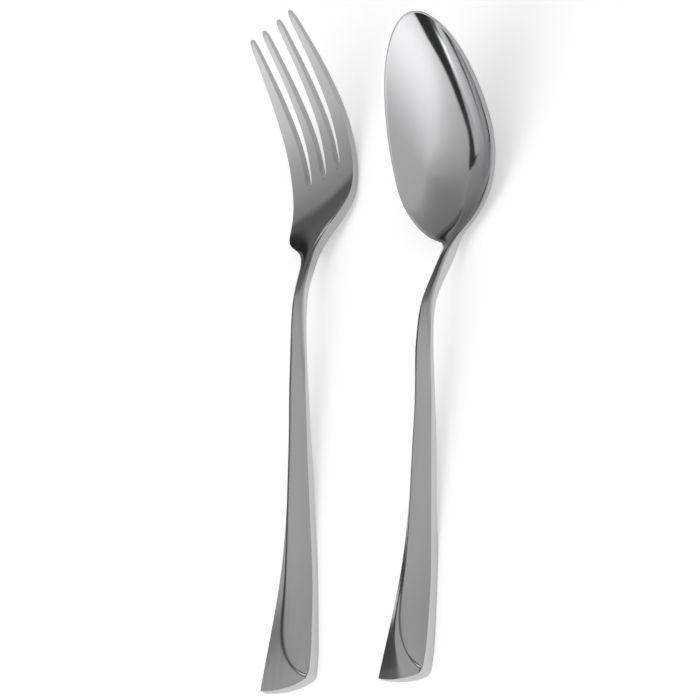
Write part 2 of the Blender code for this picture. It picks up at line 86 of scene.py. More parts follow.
# Left side of each handle: its drop at the end and toward the neck, and the share
# that stays level near the end.
FORK_SCOOP = (0.46, 0.18, 0.0)
SPOON_SCOOP = (1.15, 0.46, 0.44)
SCOOP_BREAK_AT = 18.0
SCOOP_BREAK_END = 40.0
PANEL_CROWN = 0.12
END_THICKNESS = 2.6
HEEL_FLAT_LENGTH = 30.0
HEEL_LIFT_LENGTH = 14.0
SHANK_THICKNESS = 1.75
SHANK_AT = 62.0
WAIST_THICKNESS = 1.65
WAIST_AT = 104.0
NECK_THICKNESS = 2.6
HEAD_THICKNESS = 1.8
EDGE_ROUND = 0.45
EDGE_ROUND_BAND = 1.6
EDGE_ROUND_SHARE = 0.9
EDGE_ROUND_START = 20.0
EDGE_ROUND_FADE = 12.0
SHARP_EDGE_DEGREES = 48.0
BEVEL_SEGMENTS = 2
REFINE_LEVELS = 2

# Stations along both pieces: close together at the broad end, then in even steps.
FORK_END_STATIONS = (0.0, 0.8, 1.6, 2.2, 3.2, 4.4)
SPOON_END_STATIONS = (0.2, 1.0, 1.6, 2.6, 4.2)
PALM_STATIONS = (6.6, 9.2, 12.2, 15.6, 19.4, 23.6, 28.0)
SHANK_ROWS_FROM = 33.0
SHANK_ROW_STEP = 6.0
CREST_ROWS_LEAD = 8.0
FORK_HEAD_ROW_STEP = 2.6
SPOON_NECK_ROW_STEP = 2.8
BOWL_ROW_STEP = 2.0
LAST_ROW_LEAD = 1.0

# The fork.
FORK_LENGTH = 203.7
FORK_END_HALF_WIDTH = 11.4
FORK_PALM_AT = 26.0
FORK_PALM_HALF_WIDTH = 8.4
FORK_GRIP_AT = 44.0
FORK_GRIP_HALF_WIDTH = 6.2
FORK_SHANK_AT = 68.0
FORK_SHANK_HALF_WIDTH = 4.5
FORK_WAIST_AT = 94.0
FORK_WAIST_HALF_WIDTH = 3.65
FORK_NECK_AT = 120.0
FORK_NECK_HALF_WIDTH = 2.75
FORK_HEEL_AT = 34.0
FORK_HEEL_HEIGHT = 1.9
FORK_RISE_AT = 74.0
FORK_RISE_HEIGHT = 4.4
FORK_CREST_AT = 117.0
FORK_CREST_HEIGHT = 8.2
FORK_FALL_AT = 134.0
FORK_FALL_HEIGHT = 6.2
FORK_LOW_AT = 155.0
FORK_LOW_HEIGHT = 2.3
FORK_ROOT_HEIGHT_AT = 172.0
FORK_ROOT_HEIGHT = 5.6
FORK_TINE_MID_AT = 188.0
FORK_TINE_MID_HEIGHT = 13.8
FORK_TIP_HEIGHT = 24.4
FORK_NECK_THICK_AT = 134.0
FORK_HEAD_THICK_AT = 155.0
SHOULDER_START = 131.5
SHOULDER_END = 151.0
FORK_HEAD_HALF_WIDTH = 14.2
FORK_TIP_HALF_WIDTH = 9.7
HEAD_TAPER_POWER = 1.5
HEAD_DISH = 0.5
DISH_START_LENGTH = 25.0
DISH_FADE_LENGTH = 30.0
DISH_TINE_SHARE = 0.35
FORK_MIX_LENGTH = 34.0
SLOT_ROOT_AT = 161.4
SLOT_ROOT_WIDTH = 2.4
SLOT_ROOT_SPACING = 6.6
SLOT_TIP_SPACING = 6.2
TINE_THICK_AT = 184.0
TINE_THICKNESS = 2.0
MIDDLE_SLOT_WIDTH = 4.5
SIDE_SLOT_WIDTH = 3.9
MIDDLE_SLOT_TIP_WIDTH = 5.1
SIDE_SLOT_TIP_WIDTH = 4.0
TINE_TIP_THICKNESS = 1.15
TINE_POINT_LENGTH = 1.9
TINE_POINT_SCALE = 0.42
TINE_POINT_FLATNESS = 0.45
TINE_SHOULDER_SHARE = 0.55
TINE_SHOULDER_SCALE = 0.82
TINE_ROWS = 12
COLUMNS_PER_TINE = 3
COLUMNS_PER_SLOT = 2

# The spoon, and where it lies beside the fork.
SPOON_LENGTH = 186.0
SPOON_END_REACH = 0.6
SPOON_END_HALF_WIDTH = 10.7
SPOON_PALM_AT = 20.0
SPOON_PALM_HALF_WIDTH = 8.3
SPOON_GRIP_AT = 38.0
SPOON_GRIP_HALF_WIDTH = 6.0
SPOON_SHANK_AT = 62.0
SPOON_SHANK_HALF_WIDTH = 4.5
SPOON_WAIST_AT = 92.0
SPOON_WAIST_HALF_WIDTH = 3.4
SPOON_NECK_AT = 118.0
SPOON_NECK_HALF_WIDTH = 2.3
SPOON_HEEL_AT = 32.0
SPOON_HEEL_HEIGHT = 2.3
SPOON_RISE_AT = 74.0
SPOON_RISE_HEIGHT = 6.0
SPOON_CREST_AT = 103.0
SPOON_CREST_HEIGHT = 9.4
SPOON_FALL_AT = 119.0
SPOON_FALL_HEIGHT = 6.4
SPOON_RIM_LOW_AT = 130.5
SPOON_RIM_LOW_HEIGHT = 3.4
SPOON_RIM_BACK_AT = 143.0
SPOON_RIM_BACK_HEIGHT = 7.1
SPOON_RIM_MID_AT = 164.0
SPOON_RIM_MID_HEIGHT = 16.3
SPOON_TIP_HEIGHT = 27.0
SPOON_NECK_THICKNESS = 3.3
SPOON_NECK_THICK_AT = 123.0
SPOON_HEAD_THICK_AT = 134.0
SPOON_WAIST_LEAD = 6.0
SPOON_NECK_REACH = 4.0
SPOON_MIX_LENGTH = 26.0
NECK_BLEND_POWER = 4
BOWL_START = 125.9
BOWL_WIDEST_AT = 149.5
BOWL_HALF_WIDTH = 20.8
BOWL_BACK_POWER = 0.73
BOWL_FRONT_POWER = 0.5
BOWL_DEPTH = 8.1
BOWL_DEEPEST_AT = 160.0
BOWL_FLOOR_POWER = 2.4
BOWL_HEEL_EASE = 1.7
BOWL_HEEL_POWER = 4
BOWL_UNDER_POWER = 3.0
BOWL_UNDER_EASE = 2.57
BOWL_RIM_WIDTH = 0.6
BOWL_RIM_EDGE = 1.0
BOWL_THICKNESS = 1.6
BOWL_MIX_LEAD = 5.0
BOWL_MIX_LENGTH = 9.0
BOWL_REACH_STEPS = 36
BOWL_FRONT_ROWS = 15
BOWL_HALF_COLUMNS = 9
RIM_MOST_SHARE = 0.25
SPOON_TIP_GAP = 0.03
SPOON_PLACE_X = 51.9
SPOON_PLACE_Y = -19.53
SPOON_TURN_DEGREES = 5.65

# Where the satin handle, whose colour is lightened as a painted sheen, passes into the
# mirror-polished head, from the broad end.
SATIN_AND_SHEEN_END = 0.126
SATIN_AND_SHEEN_FADE = 0.006

# Hairlines and clouds of the polish.
POLISH_CLEAR = 0.08
POLISH_CLOUDY = 0.16
POLISH_LEVELS = (0.12, 0.42)
HAIRLINE_SCALE = (1400.0, 18.0, 1400.0)
HAIRLINE_STRENGTH = 0.04
HAIRLINE_DEPTH = 0.00002
CLOUD_SCALE = 90.0

# Studio: level of the walls all round, by azimuth in degrees, and of the ceiling.
WALL_LEVELS = (
    (0.0, 0.60), (90.0, 0.55), (104.0, 0.36), (115.0, 0.25), (125.0, 0.23), (135.0, 0.27),
    (145.0, 0.36), (158.0, 0.47), (170.0, 0.58), (180.0, 0.72), (190.0, 0.88), (200.0, 1.10),
    (210.0, 1.34), (222.0, 1.46), (240.0, 1.48), (255.0, 1.40), (270.0, 1.24), (285.0, 1.04),
    (300.0, 0.80), (316.0, 0.62), (360.0, 0.60),
)
CEILING_LEVEL = 0.58
CEILING_NARROWING = 1.5
FLOOR_ROUGHNESS = 0.9
FLOOR_GLOW_IN_METAL = 0.2
# Cards, each laid over those before it: azimuths, elevations and softness in degrees, and
# level. Most reach down past the horizon.
CARD_FOOT = -10.0
STUDIO_CARDS = (
    ((36.0, 68.0), (34.0, 54.0), 4.0, 1.10),
    ((216.0, 236.0), (CARD_FOOT, 27.0), 8.0, 1.00),
    ((234.0, 326.0), (CARD_FOOT, 30.0), 8.0, 0.62),
    ((122.0, 136.0), (10.0, 27.5), 3.5, 0.12),
    ((131.5, 144.0), (CARD_FOOT, 20.5), 3.5, 0.13),
    ((142.0, 149.8), (CARD_FOOT, 22.0), 1.2, 0.04),
    ((112.0, 132.0), (CARD_FOOT, 20.0), 0.8, 0.025),
)
# Dark arch with a bright window under it and a dark sill: azimuths, and top elevations by
# azimuth.
ARCH_SPAN = (149.8, 197.5)
ARCH_TOP = (
    (148.0, 27.0), (155.0, 33.5), (165.0, 35.5), (175.0, 33.8), (181.0, 31.8), (187.0, 29.5),
    (192.0, 27.0), (198.0, 23.5), (206.0, 18.0),
)
ARCH_SOFTNESS = 0.8
ARCH_LEVEL = 0.035
WINDOW_SPAN = (153.5, 179.0)
WINDOW_TOP = (
    (148.0, 20.0), (153.0, 24.5), (157.0, 27.5), (163.0, 29.5), (168.0, 28.5), (172.0, 25.0),
    (177.0, 18.5), (180.0, 13.0), (186.0, 6.0),
)
WINDOW_SOFTNESS = 1.0
# The window brightens between these elevations, from the first level to the second.
WINDOW_RISE = (22.0, 9.0)
WINDOW_LEVELS = (0.55, 1.8)
SILL_SPAN = (166.0, 180.0)
SILL_RISE = (CARD_FOOT, 7.5)
SILL_LEVEL = 0.12

# Camera, measured from the picture: its place, and its right, up and backward directions.
SENSOR_WIDTH = 36.0
CLIP_END = 20.0
FLOOR_SIZE = 8.0
CAMERA_PLACE = (1.003078, -0.826039, 0.691065)
CAMERA_RIGHT = (0.590539, 0.058552, -0.804882)
CAMERA_UP = (0.42294, 0.826967, 0.370468)
CAMERA_BACK = (0.687303, -0.559193, 0.463592)


def smooth(value):
    """Ease from 0 to 1 with level ends."""
    t = min(1.0, max(0.0, value))
    return t * t * t * (t * (6.0 * t - 15.0) + 10.0)


def curve(knots, at):
    """Smooth curve through (place, value) knots, straight beyond the first and last."""
    count = len(knots)
    slopes = []
    for index in range(count):
        low = knots[max(index - 1, 0)]
        high = knots[min(index + 1, count - 1)]
        slopes.append((high[1] - low[1]) / (high[0] - low[0]))
    if at <= knots[0][0]:
        return knots[0][1] + slopes[0] * (at - knots[0][0])
    if at >= knots[-1][0]:
        return knots[-1][1] + slopes[-1] * (at - knots[-1][0])
    index = 0
    while at > knots[index + 1][0]:
        index += 1
    start, end = knots[index], knots[index + 1]
    span = end[0] - start[0]
    t = (at - start[0]) / span
    near = (1.0 + 2.0 * t) * (1.0 - t) ** 2 * start[1]
    near += t * (1.0 - t) ** 2 * span * slopes[index]
    far = t * t * (3.0 - 2.0 * t) * end[1] + t * t * (t - 1.0) * span * slopes[index + 1]
    return near + far


def end_line(across, half_width):
    """Where the broad end lies across the handle: slanted, bulging, right corner rounded."""
    corner = max(0.0, (across - half_width) / CORNER_RADIUS + 1.0)
    bulge = END_BULGE * across * across
    return END_SET_BACK - END_SLANT * across + bulge + CORNER_SET_BACK * corner * corner


def station(along, across, half_width):
    """Place along the piece of a point on a station that follows the slanted end."""
    fade = 1.0 - smooth(along / END_FADE)
    return along + end_line(across, half_width) * fade


def spread(along, across, half_width):
    """Place across with the dropped left side carried outward and the right corner tucked in."""
    share = across / half_width
    if share < 0.0:
        return across - LEFT_SPREAD * (edge_drop(along) - EDGE_DROP_NECK) * share * share
    tuck = max(0.0, 1.0 - along / END_TUCK_LENGTH)
    return across - END_TUCK * (tuck * share) ** 2


def sweep_line(along, half_width):
    """Left boundary of the raised panel: hugs the left edge, then sweeps to the right corner."""
    neck = -half_width + SWEEP_INSET_NECK
    near_end = SWEEP_NEAR_END
    down = smooth((SWEEP_START - along) / (SWEEP_START - SWEEP_NEAR_END_AT))
    line = neck + (near_end - neck) * down
    turn = max(0.0, (SWEEP_NEAR_END_AT - along) / SWEEP_NEAR_END_AT)
    line += (half_width - near_end) * min(1.0, turn) ** SWEEP_POWER
    return max(-half_width + SWEEP_LEFT_MARGIN, min(line, half_width - SWEEP_RIGHT_MARGIN))


def edge_drop(along, end_drop=EDGE_DROP_END, neck_drop=EDGE_DROP_NECK):
    """How far the left edge lies under the panel."""
    t = smooth(1.0 - along / EDGE_DROP_LENGTH)
    return neck_drop + (end_drop - neck_drop) * t


def pattern_fall(along, across, half_width, scoop):
    """Depth of the left side under the panel, with a small step at the panel's edge."""
    line = sweep_line(along, half_width)
    presence = smooth((SWEEP_START - along) / PATTERN_FADE)
    if across >= line:
        centre = 0.5 * (line + half_width)
        half = max(0.5 * (half_width - line), 0.5)
        lean = (across - centre) / half
        return -PANEL_CROWN * (1.0 - min(1.0, lean * lean)) * presence
    step = STEP_FALL * smooth((line - across) / STEP_RUN)
    reach = max(half_width + line, STEP_RUN)
    out = min(1.0, (line - across) / reach)
    end_drop, neck_drop, level_share = scoop
    level = level_share * smooth((SCOOP_BREAK_END - along) / (SCOOP_BREAK_END - SCOOP_BREAK_AT))
    out = max(0.0, out - level) / (1.0 - level)
    slope = max(0.0, edge_drop(along, end_drop, neck_drop) - STEP_FALL) * out
    return (step + slope) * presence


def handle_columns(along, half_width, count):
    """Places across the handle: a third left of the panel's edge, a step, and the panel."""
    left = count // 3
    line = sweep_line(along, half_width)
    places = [-half_width + (half_width + line - STEP_RUN) * i / left for i in range(left)]
    places.append(line - STEP_RUN)
    panel = count - left - 1
    places.extend(line + (half_width - line) * i / panel for i in range(panel + 1))
    return places


def rounded(share, half_width):
    """Fall of a rounded long edge at a share of the half width."""
    band = min(EDGE_ROUND_SHARE, EDGE_ROUND_BAND / half_width)
    t = max(0.0, (abs(share) - (1.0 - band)) / band)
    return EDGE_ROUND * t * t


def round_above(along):
    """How far the rounding of the upper long edges has come in, past the panel."""
    return smooth((along - SWEEP_START + EDGE_ROUND_START) / EDGE_ROUND_START)


def add_rows(places, start, end, step):
    """Add stations in even steps, and return where the next one would lie."""
    at = start
    while at < end:
        places.append(at)
        at += step
    return at


def fork_half_width(along):
    """Half width of the fork's outline."""
    knots = (
        (0.0, FORK_END_HALF_WIDTH),
        (FORK_PALM_AT, FORK_PALM_HALF_WIDTH),
        (FORK_GRIP_AT, FORK_GRIP_HALF_WIDTH),
        (FORK_SHANK_AT, FORK_SHANK_HALF_WIDTH),
        (FORK_WAIST_AT, FORK_WAIST_HALF_WIDTH),
        (FORK_NECK_AT, FORK_NECK_HALF_WIDTH),
        (SHOULDER_START, FORK_NECK_HALF_WIDTH),
    )
    if along <= SHOULDER_START:
        return curve(knots, along)
    out = smooth((along - SHOULDER_START) / (SHOULDER_END - SHOULDER_START))
    wide = FORK_NECK_HALF_WIDTH + (FORK_HEAD_HALF_WIDTH - FORK_NECK_HALF_WIDTH) * out
    t = max(0.0, (along - SHOULDER_END) / (FORK_LENGTH - SHOULDER_END))
    return wide - (FORK_HEAD_HALF_WIDTH - FORK_TIP_HALF_WIDTH) * t ** HEAD_TAPER_POWER


def fork_height(along):
    """Height of the fork's upper face at its edges."""
    knots = (
        (0.0, END_THICKNESS),
        (FORK_HEEL_AT, FORK_HEEL_HEIGHT),
        (FORK_RISE_AT, FORK_RISE_HEIGHT),
        (FORK_CREST_AT, FORK_CREST_HEIGHT),
        (FORK_FALL_AT, FORK_FALL_HEIGHT),
        (FORK_LOW_AT, FORK_LOW_HEIGHT),
        (FORK_ROOT_HEIGHT_AT, FORK_ROOT_HEIGHT),
        (FORK_TINE_MID_AT, FORK_TINE_MID_HEIGHT),
        (FORK_LENGTH, FORK_TIP_HEIGHT),
    )
    return curve(knots, along)


def fork_thickness(along):
    """Thickness of the fork along its length."""
    knots = (
        (SHANK_AT, SHANK_THICKNESS),
        (WAIST_AT, WAIST_THICKNESS),
        (FORK_NECK_THICK_AT, NECK_THICKNESS),
        (FORK_HEAD_THICK_AT, HEAD_THICKNESS),
        (TINE_THICK_AT, TINE_THICKNESS),
        (FORK_LENGTH, TINE_TIP_THICKNESS),
    )
    return curve(knots, max(along, SHANK_AT))


def underside(along, top, thickness):
    """Height of the lower face: level with the table under the heel of the handle."""
    lift = smooth((along - HEEL_FLAT_LENGTH) / HEEL_LIFT_LENGTH)
    return lift * (top - thickness)


def lean(height, along):
    """Unit direction along a piece's profile, as its level and upward parts."""
    rise = (height(along + 0.5) - height(along - 0.5))
    size = math.hypot(1.0, rise)
    return 1.0 / size, rise / size


def slot_middle(index, along):
    """Place across of slot 0, 1 or 2, from the left."""
    t = max(0.0, (along - SLOT_ROOT_AT) / (FORK_LENGTH - SLOT_ROOT_AT))
    spacing = SLOT_ROOT_SPACING + (SLOT_TIP_SPACING - SLOT_ROOT_SPACING) * t
    return (index - 1) * spacing


def slot_width(index, along):
    """Width of a slot, wider toward the tips."""
    middle = MIDDLE_SLOT_WIDTH if index == 1 else SIDE_SLOT_WIDTH
    tip = MIDDLE_SLOT_TIP_WIDTH if index == 1 else SIDE_SLOT_TIP_WIDTH
    knots = ((SLOT_ROOT_AT, SLOT_ROOT_WIDTH), (TINE_THICK_AT, middle), (FORK_LENGTH, tip))
    return curve(knots, max(along, SLOT_ROOT_AT))


def head_columns(along):
    """Places across the fork's head: the edges of the tines and slots, with points between."""
    half_width = fork_half_width(along)
    marks = [-half_width]
    for index in range(3):
        middle = slot_middle(index, along)
        half = 0.5 * slot_width(index, along)
        marks.extend((middle - half, middle + half))
    marks.append(half_width)
    squeeze = min(1.0, half_width / FORK_HEAD_HALF_WIDTH) if along < SHOULDER_END else 1.0
    marks = [marks[0]] + [mark * squeeze for mark in marks[1:-1]] + [marks[-1]]
    places = []
    for band in range(7):
        parts = COLUMNS_PER_TINE if band % 2 == 0 else COLUMNS_PER_SLOT
        for step in range(parts):
            places.append(marks[band] + (marks[band + 1] - marks[band]) * step / parts)
    places.append(marks[-1])
    return places


def fork_point(along, across, drop=0.0):
    """Upper and lower point of the fork at a place along and across it."""
    half_width = fork_half_width(along)
    share = across / half_width
    presence = smooth((along - FORK_CREST_AT) / DISH_START_LENGTH)
    late = 1.0 - smooth((along - FORK_ROOT_HEIGHT_AT) / DISH_FADE_LENGTH)
    dish = HEAD_DISH * presence * (DISH_TINE_SHARE + (1.0 - DISH_TINE_SHARE) * late)
    top = fork_height(along) - dish * (1.0 - share * share)
    top -= drop
    thickness = fork_thickness(along)
    fade = 1.0 - smooth((along - SHOULDER_START) / EDGE_ROUND_FADE)
    level, rise = lean(fork_height, along)
    if along < SHANK_AT:
        low = underside(along, fork_height(along), SHANK_THICKNESS)
        round_low = 0.0
        shift = 0.0
    else:
        low = top - thickness * level
        shift = thickness * rise
        round_low = rounded(share, half_width) * fade
        round_low *= smooth((along - SHANK_AT) / EDGE_ROUND_START)
    round_top = rounded(share, half_width) * round_above(along)
    round_top *= fade
    return (across, along, top - round_top), (across, along + shift, low + round_low)


def fork_rows():
    """Stations along the fork from the end to the slot roots."""
    places = [*FORK_END_STATIONS, *PALM_STATIONS]
    at = add_rows(places, SHANK_ROWS_FROM, FORK_CREST_AT - CREST_ROWS_LEAD, SHANK_ROW_STEP)
    add_rows(places, at, SLOT_ROOT_AT - LAST_ROW_LEAD, FORK_HEAD_ROW_STEP)
    return places


def fork_body_row(along):
    """One row of points across the handle and the head, before the slots."""
    half_width = fork_half_width(along)
    count = 4 * COLUMNS_PER_TINE + 3 * COLUMNS_PER_SLOT
    mix = smooth((along - SWEEP_START + PATTERN_MIX_LEAD) / FORK_MIX_LENGTH)
    handle = handle_columns(min(along, SWEEP_START), half_width, count)
    head = head_columns(along)
    tops, lows = [], []
    for a, b in zip(handle, head):
        across = a + (b - a) * mix
        place = station(along, across, half_width)
        scale = fork_half_width(place) / half_width
        drop = pattern_fall(along, across, half_width, FORK_SCOOP)
        wide = spread(along, across * scale, half_width)
        top, low = fork_point(place, wide, drop)
        tops.append(top)
        lows.append(low)
    return tops, lows


def fork_root_row():
    """The row at the slot roots, drawn in a small arc round each root."""
    radius = 0.5 * SLOT_ROOT_WIDTH
    along = SLOT_ROOT_AT + radius
    tops, lows = [], []
    for index, across in enumerate(head_columns(along)):
        back = radius if is_slot_middle(index) else 0.0
        top, low = fork_point(along - back, across)
        tops.append(top)
        lows.append(low)
    return tops, lows


def is_slot_middle(index):
    """Whether a column runs through the middle of a slot."""
    cycle = COLUMNS_PER_TINE + COLUMNS_PER_SLOT
    return index % cycle == COLUMNS_PER_TINE + 1


def tine_rows():
    """Stations along the tines, closer together at the points, with the width's scale."""
    first = SLOT_ROOT_AT + 0.5 * SLOT_ROOT_WIDTH
    last = FORK_LENGTH - TINE_POINT_LENGTH
    rows = [(first + (last - first) * (k + 1) / TINE_ROWS, 1.0) for k in range(TINE_ROWS)]
    rows.append((last + TINE_POINT_LENGTH * TINE_SHOULDER_SHARE, TINE_SHOULDER_SCALE))
    rows.append((FORK_LENGTH, TINE_POINT_SCALE))
    return rows


def spoon_shank_half_width(along):
    """Half width of the spoon's handle and neck."""
    knots = (
        (0.0, SPOON_END_HALF_WIDTH),
        (SPOON_PALM_AT, SPOON_PALM_HALF_WIDTH),
        (SPOON_GRIP_AT, SPOON_GRIP_HALF_WIDTH),
        (SPOON_SHANK_AT, SPOON_SHANK_HALF_WIDTH),
        (SPOON_WAIST_AT, SPOON_WAIST_HALF_WIDTH),
        (SPOON_NECK_AT, SPOON_NECK_HALF_WIDTH),
        (BOWL_START + SPOON_NECK_REACH, SPOON_NECK_HALF_WIDTH),
    )
    return curve(knots, min(along, BOWL_START + SPOON_NECK_REACH))


def egg(along, inset):
    """Half width of the egg-shaped bowl, set in from the rim by a distance."""
    if along < BOWL_WIDEST_AT:
        reach = BOWL_WIDEST_AT - BOWL_START - inset
        power = BOWL_BACK_POWER
        t = (BOWL_WIDEST_AT - along) / reach
    else:
        reach = SPOON_LENGTH - BOWL_WIDEST_AT - inset
        power = BOWL_FRONT_POWER
        t = (along - BOWL_WIDEST_AT) / reach
    if t >= 1.0:
        return 0.0
    return (BOWL_HALF_WIDTH - inset) * (1.0 - t * t) ** power


def spoon_half_width(along):
    """Half width of the spoon's outline: the neck blended into the bowl."""
    bowl = egg(along, 0.0)
    if along > BOWL_WIDEST_AT:
        return bowl
    neck = spoon_shank_half_width(along)
    return (neck ** NECK_BLEND_POWER + bowl ** NECK_BLEND_POWER) ** (1.0 / NECK_BLEND_POWER)


def spoon_height(along):
    """Height of the spoon's handle and rim."""
    knots = (
        (0.0, END_THICKNESS),
        (SPOON_HEEL_AT, SPOON_HEEL_HEIGHT),
        (SPOON_RISE_AT, SPOON_RISE_HEIGHT),
        (SPOON_CREST_AT, SPOON_CREST_HEIGHT),
        (SPOON_FALL_AT, SPOON_FALL_HEIGHT),
        (SPOON_RIM_LOW_AT, SPOON_RIM_LOW_HEIGHT),
        (SPOON_RIM_BACK_AT, SPOON_RIM_BACK_HEIGHT),
        (SPOON_RIM_MID_AT, SPOON_RIM_MID_HEIGHT),
        (SPOON_LENGTH, SPOON_TIP_HEIGHT),
    )
    return curve(knots, along)


def spoon_thickness(along):
    """Thickness of the spoon along its length."""
    knots = (
        (SHANK_AT, SHANK_THICKNESS),
        (WAIST_AT - SPOON_WAIST_LEAD, WAIST_THICKNESS),
        (SPOON_NECK_THICK_AT, SPOON_NECK_THICKNESS),
        (SPOON_HEAD_THICK_AT, BOWL_THICKNESS),
        (SPOON_LENGTH, BOWL_THICKNESS),
    )
    return curve(knots, max(along, SHANK_AT))


def bowl_reach(along, across, inset):
    """Share of the way from the bowl's deepest point to its outline, set in by a distance."""
    level = along - BOWL_DEEPEST_AT
    size = math.hypot(level, across)
    if size < 1e-6:
        return 0.0
    near, far = 0.0, 2.0 * (SPOON_LENGTH - BOWL_START)
    for _ in range(BOWL_REACH_STEPS):
        middle = 0.5 * (near + far)
        share = middle / size
        if abs(across) * share < egg(BOWL_DEEPEST_AT + level * share, inset):
            near = middle
        else:
            far = middle
    return size / near


def bowl_fall(along, across, inset, power, heel_ease):
    """Share of the bowl's depth at a place, with a gentler slope toward the neck."""
    reach = bowl_reach(along, across, inset)
    if reach >= 1.0:
        return 0.0
    back = max(0.0, BOWL_DEEPEST_AT - along)
    heel = (back / math.hypot(back, across)) ** BOWL_HEEL_POWER if back > 0.0 else 0.0
    ease = 1.0 + (heel_ease - 1.0) * heel
    return (1.0 - reach ** power) ** ease


def spoon_rows():
    """Stations along the spoon, closer together at its ends and round the neck."""
    places = [-SPOON_END_REACH, *SPOON_END_STATIONS, *PALM_STATIONS]
    at = add_rows(places, SHANK_ROWS_FROM, SPOON_CREST_AT - CREST_ROWS_LEAD, SHANK_ROW_STEP)
    at = add_rows(places, at, BOWL_START - LAST_ROW_LEAD, SPOON_NECK_ROW_STEP)
    at = add_rows(places, at, BOWL_WIDEST_AT, BOWL_ROW_STEP)
    reach = SPOON_LENGTH - at
    for k in range(BOWL_FRONT_ROWS):
        places.append(at + reach * math.sin(0.5 * math.pi * k / BOWL_FRONT_ROWS))
    places.append(SPOON_LENGTH - SPOON_TIP_GAP)
    return places


def spoon_columns(half_width):
    """Places across the spoon, with close columns on both sides of the rim's inner edge."""
    rim = min(BOWL_RIM_WIDTH, RIM_MOST_SHARE * half_width)
    marks = (half_width, half_width - 0.5 * rim, half_width - rim, half_width - 1.5 * rim)
    turns = [k / BOWL_HALF_COLUMNS - 1.0 for k in range(1, 2 * BOWL_HALF_COLUMNS)]
    middle = [marks[-1] * math.sin(0.5 * math.pi * turn) for turn in turns]
    return [-mark for mark in marks] + middle + list(reversed(marks))


def bowl_section(along, across):
    """Upper and lower height of the bowl at a place."""
    rim = spoon_height(along)
    inside = bowl_fall(along, across, BOWL_RIM_WIDTH, BOWL_FLOOR_POWER, BOWL_HEEL_EASE)
    outside = bowl_fall(along, across, 0.0, BOWL_UNDER_POWER, BOWL_UNDER_EASE)
    under = BOWL_DEPTH + spoon_thickness(along) - BOWL_RIM_EDGE
    return rim - BOWL_DEPTH * inside, rim - BOWL_RIM_EDGE - under * outside


def spoon_point(along, across, drop):
    """Upper and lower point of the spoon at a place along and across it."""
    half_width = spoon_half_width(along)
    share = max(-1.0, min(1.0, across / half_width))
    height = spoon_height(along)
    top = height - drop
    if along < SHANK_AT:
        low = underside(along, height, SHANK_THICKNESS)
    else:
        level, rise = lean(spoon_height, along)
        low = top - spoon_thickness(along) * level
        low += rounded(share, half_width) * smooth((along - SHANK_AT) / EDGE_ROUND_START)
    top -= rounded(share, half_width) * round_above(along)
    mix = smooth((along - BOWL_START + BOWL_MIX_LEAD) / BOWL_MIX_LENGTH)
    bowl_top, bowl_low = bowl_section(along, across)
    top += (bowl_top - top) * mix
    low += (bowl_low - low) * mix
    return (across, along, top), (across, along, low)


def spoon_row(along):
    """One row of points across the spoon."""
    half_width = spoon_half_width(along)
    bowl = spoon_columns(half_width)
    handle = handle_columns(min(along, SWEEP_START), half_width, len(bowl) - 1)
    mix = smooth((along - SWEEP_START + PATTERN_MIX_LEAD) / SPOON_MIX_LENGTH)
    tops, lows = [], []
    for a, b in zip(handle, bowl):
        across = a + (b - a) * mix
        place = station(along, across, half_width)
        scale = spoon_half_width(place) / half_width
        drop = pattern_fall(along, across, half_width, SPOON_SCOOP)
        wide = spread(along, across * scale, half_width)
        top, low = spoon_point(place, wide, drop)
        tops.append(top)
        lows.append(low)
    return tops, lows


def fork_sheets():
    """Upper and lower rows of points for the whole fork, slots included."""
    rows = [fork_body_row(along) for along in fork_rows()]
    rows.append(fork_root_row())
    rows.extend(tine_row(along, scale) for along, scale in tine_rows())
    return tuple(zip(*rows))


def tine_row(along, scale):
    """One row across all four tines; the points in the slots are cut away later."""
    places = head_columns(along)
    cycle = COLUMNS_PER_TINE + COLUMNS_PER_SLOT
    tops, lows = [], []
    for index, across in enumerate(places):
        start = min(index // cycle * cycle, len(places) - 1 - COLUMNS_PER_TINE)
        middle = 0.5 * (places[start] + places[start + COLUMNS_PER_TINE])
        top, low = fork_point(along, middle + (across - middle) * scale)
        centre = [0.5 * (a + b) for a, b in zip(top, low)]
        squeeze = TINE_POINT_FLATNESS + (1.0 - TINE_POINT_FLATNESS) * scale
        tops.append([c + (p - c) * squeeze for c, p in zip(centre, top)])
        lows.append([c + (p - c) * squeeze for c, p in zip(centre, low)])
    return tops, lows


def spoon_sheets():
    """Upper and lower rows of points for the whole spoon."""
    return tuple(zip(*(spoon_row(along) for along in spoon_rows())))


def active_edit(piece):
    """Make a piece the only selected and active one, in edit mode."""
    bpy.ops.object.select_all(action="DESELECT")
    piece.select_set(True)
    bpy.context.view_layer.objects.active = piece
    bpy.ops.object.mode_set(mode="EDIT")


def grid_marks(mesh):
    """Row and column that each point of a stamped grid keeps."""
    return mesh.attributes["row"].data, mesh.attributes["column"].data


